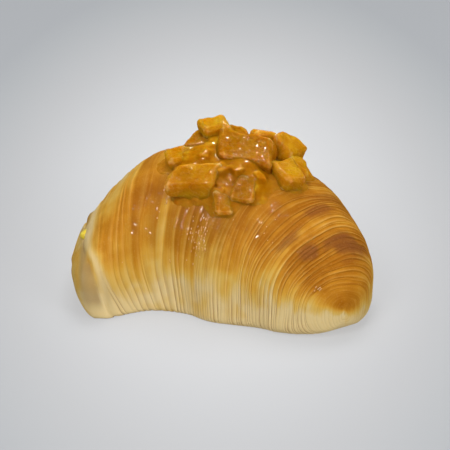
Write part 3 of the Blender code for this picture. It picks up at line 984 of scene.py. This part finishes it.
def fruit_material():
    """Candied fruit: amber flesh that light spreads through, broken pale rims of painted light, wet
    places.
    """
    nodes = Nodes("candied_fruit")
    flesh = nodes.attribute("flesh", "Vector")
    cloud = nodes.noise(0.22, 3.0, 0.6, flesh, (1.0, 0.45, 1.0))
    fibre = nodes.noise(1.0, 3.0, 0.6, flesh, (2.2, 0.25, 1.0))
    tone = nodes.math("ADD", nodes.attribute("light"), nodes.past(cloud, 0.5, 1.1))
    tone = nodes.math("ADD", tone, nodes.past(fibre, 0.5, 0.2), clamp=True)
    colour = nodes.ramp(tone, (
        (0.0, srgb(148, 90, 6)),
        (0.5, srgb(172, 114, 10)),
        (1.0, srgb(194, 148, 28)),
    ))
    # The pale rim is painted light: light seen scattering out of the convex edges, broken up by
    # noise.
    rim = nodes.past(nodes.attribute("rim"), 0.40, 1.6, clamp=True)
    broken = nodes.past(nodes.noise(0.16, 2.0, 0.5, flesh), 0.42, 6.0, clamp=True)
    rim = nodes.math("MULTIPLY", rim, nodes.math(
        "ADD", nodes.math("MULTIPLY", broken, 0.62), 0.13))
    colour = nodes.mix(rim, colour, srgb(216, 164, 90))
    ripple = nodes.noise(0.8, 1.0, 0.5, flesh)
    wave = nodes.noise(0.26, 2.0, 0.3, flesh)
    normal = nodes.bump(ripple, 0.35 * MM)
    wet = nodes.bump(wave, 1.6 * MM)
    beads = nodes.past(nodes.noise(1.2, 1.0, 0.5, flesh), 0.56, WET_EDGE, clamp=True)
    # The pale veins are partly the flesh's inner boundaries and partly painted highlight lines.
    vein = nodes.noise(0.30, 2.0, 0.5, flesh, (1.0, 0.6, 1.3))
    vein = nodes.math("ABSOLUTE", nodes.math("SUBTRACT", vein, 0.5))
    vein = nodes.math("SUBTRACT", 1.0, nodes.math("MULTIPLY", vein, 30.0), clamp=True)
    colour = nodes.mix(nodes.math("MULTIPLY", vein, 0.14), colour, srgb(222, 172, 96))
    set_wet(nodes, colour, normal, beads, wet)
    nodes.set(Subsurface_Weight=1.0, Subsurface_Scale=9.0 * MM)
    return nodes.material


def syrup_material():
    """Thick amber syrup, painted shade in the hollows, painted light on the ridges, a sharp wet
    shine.
    """
    nodes = Nodes("syrup")
    cloud = nodes.noise(190.0, 2.0, 0.5)
    rim = nodes.attribute("rim")
    # Painted shade and painted light: darker in the syrup's hollows, lighter on its ridges, by the
    # rim value.
    tone = nodes.math("ADD", 0.45, nodes.math("MULTIPLY", rim, 0.30))
    tone = nodes.math("ADD", tone, nodes.past(cloud, 0.5, 1.3), clamp=True)
    colour = nodes.ramp(tone, (
        (0.0, srgb(146, 86, 4)),
        (0.5, srgb(168, 106, 6)),
        (1.0, srgb(192, 140, 26)),
    ))
    colour = nodes.mix(nodes.math("MULTIPLY", nodes.attribute("thin"), 0.7), colour,
                       srgb(182, 122, 32))
    beads = nodes.past(nodes.noise(1000.0, 1.0, 0.5), 0.54, WET_EDGE, clamp=True)
    ripple = nodes.noise(700.0, 1.0, 0.5)
    wave = nodes.noise(240.0, 2.0, 0.25)
    normal = nodes.bump(ripple, 0.35 * MM)
    wet = nodes.bump(wave, 1.4 * MM)
    set_wet(nodes, colour, normal, beads, wet)
    nodes.set(Subsurface_Weight=0.85, Subsurface_Scale=3.0 * MM)
    return nodes.material


def cream_material():
    """Smooth lemon-yellow cream with a soft shine."""
    nodes = Nodes("cream")
    cloud = nodes.noise(400.0, 3.0, 0.5)
    colour = nodes.ramp(cloud, (
        (0.3, srgb(232, 202, 50)),
        (0.7, srgb(240, 218, 84)),
    ))
    nodes.set(
        Base_Color=colour,
        Roughness=0.35,
        Subsurface_Weight=0.3,
        Subsurface_Radius=(1.0, 0.8, 0.3),
        Subsurface_Scale=1.0 * MM,
        Coat_Weight=0.5,
        Coat_Roughness=0.1,
        Normal=nodes.bump(nodes.noise(900.0, 3.0, 0.5), 0.2 * MM),
    )
    return nodes.material


def add_cream(material):
    """The tongue of cream, its surface a little uneven."""
    points, normals, faces = node_mesh("cream_filling")
    points = points + 0.5 * MM * normals
    points, normals, polygons = remeshed(points.tolist(), faces, 0.5 * MM, 4)
    lumps = 0.30 * MM * noise(points / (4.0 * MM), 61) + 0.12 * MM * noise(points / (1.5 * MM), 62)
    new_piece("cream", points + normals * lumps[:, None], polygons, material,
              ("cream_filling",))


# ------------------------------------------------------------------ stage
VIEW_AIM = np.array((1.67, 2.81, 25.89)) * MM
VIEW_ELEVATION = math.radians(25)
VIEW_DISTANCE = 0.8
VIEW_LENS = 164.1
# Lamps: place (m), side (m) and power (W). The soft ones light the object, and the small
# ones only show as the shine on wet surfaces.
SOFT_LAMPS = (
    ("key", (-0.30, -0.62, 0.66), 0.40, 5.2),
    ("fill", (0.55, -0.58, 0.50), 0.40, 3.5),
    ("over", (0.05, 0.30, 0.80), 0.50, 4.9),
)
SHINE_LAMPS = (
    ("shine_overhead", (0.00, 0.07, 0.85), 0.09, 1.7),
    ("shine_front", (-0.12, -0.36, 0.76), 0.09, 2.6),
    ("shine_right", (0.40, -0.12, 0.73), 0.09, 2.6),
    ("shine_left", (-0.45, -0.20, 0.69), 0.09, 2.6),
    ("shine_behind", (0.05, 0.50, 0.70), 0.09, 2.6),
    ("shine_low", (0.14, -0.62, 0.58), 0.09, 2.6),
    ("shine_low_left", (-0.30, -0.66, 0.45), 0.09, 2.6),
)
WORLD = 0.12
# The floor's colour is a painted pool of light, bright in the middle and greyer outwards, and the
# floor glows with it.
SPOT_MIDDLE = (0.0017, 0.080, 0.0)
SPOT_REACH = 0.133              # m, of the light spot on the floor as the camera sees it
FLOOR_SIDE = 6.0
FLOOR_DROP = 0.05 * MM          # keeps the floor clear of the flat underside
FLOOR_GLOW = 0.64


def add_stage():
    """Floor with a painted pool of light that also glows, soft studio lights and the camera."""
    nodes = Nodes("floor")
    where = nodes.add("ShaderNodeTexCoord").outputs["Object"]
    mapping = nodes.add("ShaderNodeMapping", vector_type="TEXTURE")
    nodes.link(where, mapping.inputs["Vector"])
    mapping.inputs["Location"].default_value = SPOT_MIDDLE
    mapping.inputs["Scale"].default_value = (
        SPOT_REACH, SPOT_REACH / math.sin(VIEW_ELEVATION), 1.0)
    gradient = nodes.add("ShaderNodeTexGradient", gradient_type="SPHERICAL")
    nodes.link(mapping.outputs[0], gradient.inputs["Vector"])
    # A painted pool of light on the floor; the floor also glows with the same colour, which softens
    # shadows cast on it.
    colour = nodes.ramp(gradient.outputs["Fac"], (
        (0.00, srgb(180, 183, 187)),
        (0.10, srgb(186, 189, 192)),
        (0.32, srgb(201, 202, 204)),
        (0.55, srgb(216, 217, 219)),
        (0.75, srgb(225, 226, 228)),
        (1.00, srgb(234, 235, 237)),
    ))
    nodes.set(
        Base_Color=nodes.mix(0.70, colour, (0.0, 0.0, 0.0, 1.0)),
        Roughness=0.9,
        Specular_IOR_Level=0.0,
        Emission_Color=colour,
        Emission_Strength=FLOOR_GLOW,
    )
    bpy.ops.mesh.primitive_plane_add(size=FLOOR_SIDE, location=(0.0, 0.0, -FLOOR_DROP))
    floor = bpy.context.object
    floor.name = "floor"
    floor.visible_glossy = False
    floor.data.materials.append(nodes.material)

    for name, place, size, energy in SOFT_LAMPS + SHINE_LAMPS:
        lamp = bpy.data.lights.new(name, "AREA")
        lamp.size = size
        lamp.energy = energy
        light = bpy.data.objects.new(name, lamp)
        light.location = place
        light.visible_glossy = name.startswith("shine")
        light.visible_diffuse = not name.startswith("shine")
        light.rotation_euler = (-Vector(place)).to_track_quat("-Z", "Y").to_euler()
        bpy.context.scene.collection.objects.link(light)
    world = bpy.data.worlds.new("studio")
    world.use_nodes = True
    world.node_tree.nodes["Background"].inputs[0].default_value = (1.0, 1.0, 1.0, 1.0)
    world.node_tree.nodes["Background"].inputs[1].default_value = WORLD
    world.cycles_visibility.glossy = False
    bpy.context.scene.world = world
    bpy.context.scene.view_settings.view_transform = "Standard"

    lens = bpy.data.cameras.new("camera")
    lens.lens = VIEW_LENS
    lens.clip_start = 0.01
    camera = bpy.data.objects.new("camera", lens)
    back = Vector((0.0, -math.cos(VIEW_ELEVATION), math.sin(VIEW_ELEVATION)))
    camera.location = Vector(VIEW_AIM) + back * VIEW_DISTANCE
    camera.rotation_euler = (-back).to_track_quat("-Z", "Y").to_euler()
    bpy.context.scene.collection.objects.link(camera)
    bpy.context.scene.camera = camera


# ------------------------------------------------------------------ the scene
skin = Skin()
add_pastry(skin, crust_material())
add_cream(cream_material())
add_syrup(skin, add_fruit(fruit_material()), syrup_material())
add_beads(skin, bead_material())
add_stage()
